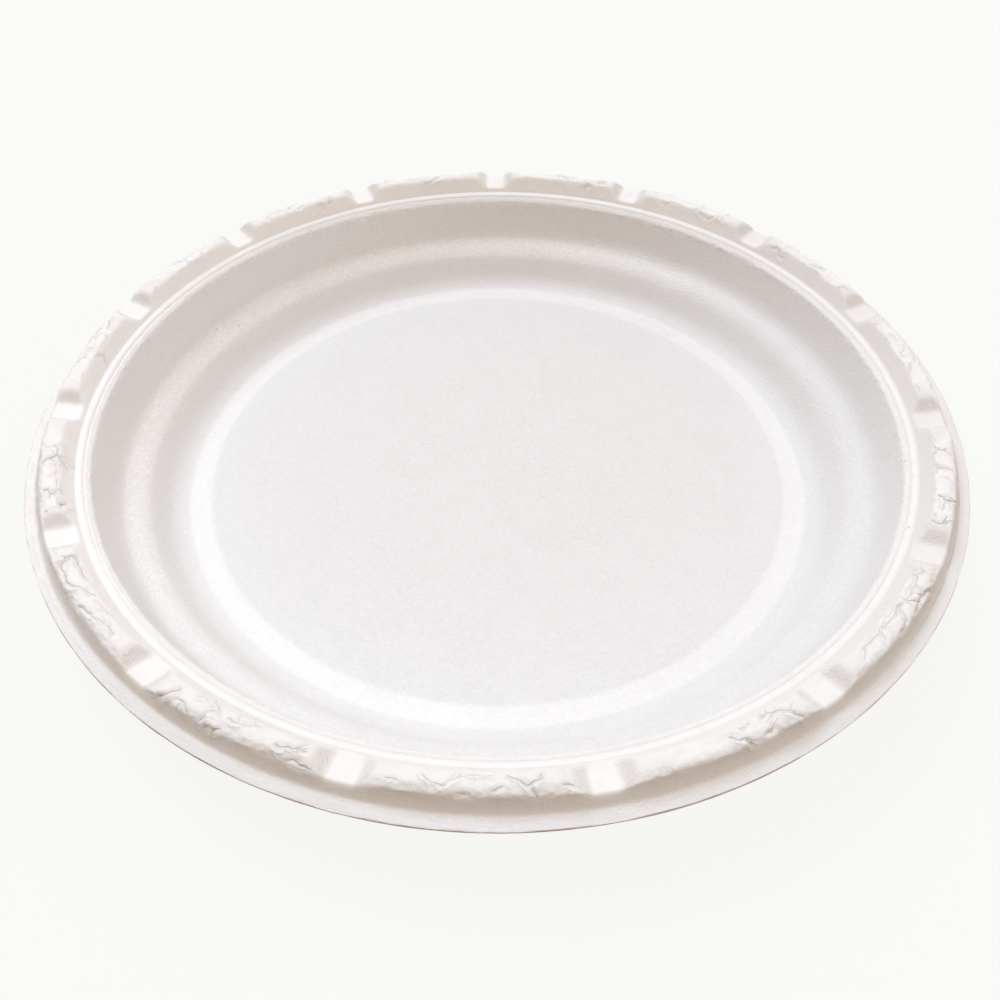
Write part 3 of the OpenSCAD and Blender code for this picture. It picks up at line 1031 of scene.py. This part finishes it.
felt_share = (0.5 - 0.38 * rim_side) * (1 - 0.75 * smooth_zone)
layers = [
    (ring_zone, RING_COLOUR),
    (rim_zone, RIM_COLOUR),
    # Painted light on the ledge.
    (ledge_light, LEDGE_LIGHT_COLOUR),
    (lip_zone, LIP_COLOUR),
    (bead_zone, PRESSED_COLOUR),
    # Painted shade in the groove and the valley.
    (groove_shade_line * 0.6, GROOVE_SHADE_COLOUR),
    (pad_top * 0.9, PRESSED_COLOUR),
    # Painted shade on the pads' ends.
    (pad_end, END_SHADE_COLOUR),
    (notch_floor, PRESSED_COLOUR),
    # Painted shade on the right rim, less on the pads' tops.
    (right_rim_shade * (0.75 - 0.6 * pad_top), RIM_SHADE_COLOUR),
    # Painted light on the left flange.
    (left_flange_light * 0.8, LEFT_LIGHT_COLOUR),
    # Painted shade on the near rim.
    (near_rim_shade * 0.35, RIM_SHADE_COLOUR),
    (felt.step(-0.16, 0.16) * felt_share, FELT_COLOUR),
    (mottle, MOTTLE_COLOUR),
    # Painted shade at the pads' foot, with the other thin lines.
    (thin_lines, SHADE_AND_SPECK_COLOUR),
    # Painted shade in the cracks, darker at the left and right sides.
    (crack * (0.22 + 0.25 * sideways), SHADE_AND_SPECK_COLOUR),
    (cut_zone * (0.5 + 0.5 * grain(place, 4.0)), CUT_COLOUR),
]
print(f"layers of colour: {len(layers)}")

# %% [markdown]
# Pulp always holds a few dark specks of bark. Seven can be seen on this plate. Each is a place on the upper
# face, and the colour darkens within half a millimetre of it.

# %% Specks, as bearing in degrees, distance from the centre and size in millimetres
SPECKS = [
    (334.5, 95.2, 0.40), (297.5, 95.3, 0.45), (301.1, 92.3, 0.45), (19.1, 95.9, 0.40),
    (102.6, 99.7, 0.50), (103.2, 100.3, 0.40), (116.2, 101.9, 0.50),
]


def speck(bearing, radius, size):
    """1 inside a small dark speck on the upper face."""
    angle = math.radians(bearing)
    height = at_radius(upper, radius)[1] - sag(angle, radius)
    spot = Vector((radius * math.sin(angle), radius * math.cos(angle), height)) * MM
    away = place.vector("DISTANCE", spot, out="Value") / MM
    return 1 - away.step(0.3 * size, size)


specks = speck(*SPECKS[0])
for given in SPECKS[1:]:
    specks = specks.math("MAXIMUM", speck(*given))
layers.append((specks * 0.55, SHADE_AND_SPECK_COLOUR))

base = FLOOR_COLOUR
for mask, colour in layers:
    base = mask.node("ShaderNodeMix", {"data_type": "RGBA"}, {"Factor": mask, "A": base, "B": colour})
print(f"specks: {len(SPECKS)}, and {len(tree.nodes)} nodes with all the colours")

# %% [markdown]
# The felt is too fine for the mesh, so it is a bump of a quarter of a millimetre at most, calmer where the
# mould pressed the surface smooth. The cracks' lines go in and the flange's streaks come out. The shader
# itself is matt, with a weak soft shine.

# %% Bump and shader
BUMP_HEIGHT = 0.25 * MM

height_sum = (felt * 0.8 + fine * 0.3) * (1 - 0.7 * smooth_zone) * (1 + pad_end - 0.45 * rim_side)
height_sum = height_sum - crack * 0.8 + flange_zone * streaks * 0.6
bump_sockets = {"Strength": 1.0, "Distance": BUMP_HEIGHT, "Height": height_sum}
shader = place.node("ShaderNodeBsdfPrincipled", None, {
    "Base Color": base,
    "Roughness": 0.62 - 0.12 * smooth_zone,
    "Specular IOR Level": 0.4,
    "Normal": place.node("ShaderNodeBump", None, bump_sockets),
})
tree.links.new(shader.socket, output.inputs["Surface"])
plate.data.materials.append(fibre)
print(f"fibre finish: {len(tree.nodes)} nodes")

# %% [markdown]
# The floor is a pale sheet that runs out of sight. A camera ray sees mostly its own plain white, with a
# share of the light that falls on it, so it keeps the plate's soft shadow. To every other ray it is a dim
# brown: the outer walls in the photo are brown with shade, so little light comes up from below.

# %% Floor
BACKDROP = (0.956, 0.956, 0.939, 1)
SHEET_COLOUR = (0.95, 0.98, 0.98, 1)
UNSEEN_COLOUR = (0.22, 0.18, 0.145, 1)
FLOOR_SIZE = 6.0
SHADOW_SHARE = 0.06

bpy.ops.mesh.primitive_plane_add(size=FLOOR_SIZE)
floor = bpy.context.object
floor.name = "floor"
sheet = bpy.data.materials.new("pale_sheet")
sheet.use_nodes = True
tree = sheet.node_tree
output = fresh(tree, "ShaderNodeOutputMaterial")
seen = Value(tree, tree.nodes.new("ShaderNodeLightPath").outputs["Is Camera Ray"])
matt = seen.node("ShaderNodeBsdfDiffuse", None, {"Color": SHEET_COLOUR})
plain = seen.node("ShaderNodeEmission", None, {"Color": BACKDROP, "Strength": 1.0})
shown = seen.node("ShaderNodeMixShader", None, {0: 1 - SHADOW_SHARE, 1: matt, 2: plain})
unseen = seen.node("ShaderNodeBsdfDiffuse", None, {"Color": UNSEEN_COLOUR})
both = seen.node("ShaderNodeMixShader", None, {0: seen, 1: unseen, 2: shown})
tree.links.new(both.socket, output.inputs["Surface"])
floor.data.materials.append(sheet)
print(f"floor: {FLOOR_SIZE:.0f} m across")

# %% [markdown]
# The world is two things: to the camera, to mirrors and through glass it is the pale backdrop, and to every
# other ray a dim warm room, whose light fills the shade.

# %% World
ROOM_COLOUR = (1.0, 0.70, 0.42, 1)
ROOM_STRENGTH = 0.38

world = bpy.data.worlds.new("soft_room")
bpy.context.scene.world = world
world.use_nodes = True
tree = world.node_tree
output = fresh(tree, "ShaderNodeOutputWorld")
paths = tree.nodes.new("ShaderNodeLightPath").outputs
seen = Value(tree, paths["Is Camera Ray"]) + Value(tree, paths["Is Glossy Ray"])
seen = (seen + Value(tree, paths["Is Transmission Ray"])).math("MINIMUM", 1.0)
room = seen.node("ShaderNodeBackground", None, {"Color": ROOM_COLOUR, "Strength": ROOM_STRENGTH})
white = seen.node("ShaderNodeBackground", None, {"Color": BACKDROP, "Strength": 1.0})
both = seen.node("ShaderNodeMixShader", None, {0: seen, 1: room, 2: white})
tree.links.new(both.socket, output.inputs["Surface"])
print(f"world: a room of strength {ROOM_STRENGTH}")

# %% [markdown]
# The light is a cool window high behind and to the left in a warm dim room, with three weaker lamps that
# fill the right and the far side. It was found from the photo: the plate's grey in full light and in shade,
# and how brown it goes there, give the lamps' shares. Each is a wide soft disc far away, so every part of
# the plate gets the same light.

# %% Lamps: bearing, elevation and width in degrees, strength, colour
LAMPS = [
    ("window", 315, 60, 35, 0.65 * math.pi, (0.71, 0.84, 0.99)),
    ("low_right", 90, 15, 35, 0.15 * math.pi, (0.70, 0.83, 1.0)),
    ("near_right", 130, 55, 35, 0.18 * math.pi, (0.90, 0.95, 1.0)),
    ("far_low", 0, 28, 35, 0.13 * math.pi, (0.98, 0.94, 0.88)),
]
for name, bearing, elevation, width, strength, colour in LAMPS:
    lamp = bpy.data.lights.new(name, "SUN")
    lamp.energy = strength
    lamp.angle = math.radians(width)
    lamp.color = colour
    holder = bpy.data.objects.new(name, lamp)
    bpy.context.scene.collection.objects.link(holder)
    b, e = math.radians(bearing), math.radians(elevation)
    from_where = Vector((math.sin(b) * math.cos(e), math.cos(b) * math.cos(e), math.sin(e)))
    holder.rotation_euler = from_where.to_track_quat("Z", "Y").to_euler()
print(f"lamps: {len(LAMPS)}")

# %% [markdown]
# The camera stands where the photograph was taken: about a quarter of the plate's width in front of the rim,
# three quarters of it above the table, and looking down by a little more than half a right angle.

# %% Camera
CAMERA_AT = Vector((0.64, -177.6, 174.1)) * MM
LOOK_DOWN = math.radians(46.85)
ROLL = math.radians(0.31)
LENS = 32.4

camera = bpy.data.cameras.new("camera")
camera.sensor_width = 36
camera.lens = LENS
camera.clip_start = 0.01
holder = bpy.data.objects.new("camera", camera)
bpy.context.scene.collection.objects.link(holder)
forward = Vector((0, math.cos(LOOK_DOWN), -math.sin(LOOK_DOWN)))
side = Vector((1, 0, 0))
up = side.cross(forward)
side, up = math.cos(ROLL) * side + math.sin(ROLL) * up, math.cos(ROLL) * up - math.sin(ROLL) * side
turn = Matrix((side, up, -forward)).transposed().to_4x4()
holder.matrix_world = Matrix.Translation(CAMERA_AT) @ turn
bpy.context.scene.camera = holder
bpy.context.scene.view_settings.view_transform = "Standard"
print(f"camera: {CAMERA_AT.length / MM:.0f} mm from the plate's centre, lens {LENS} mm")
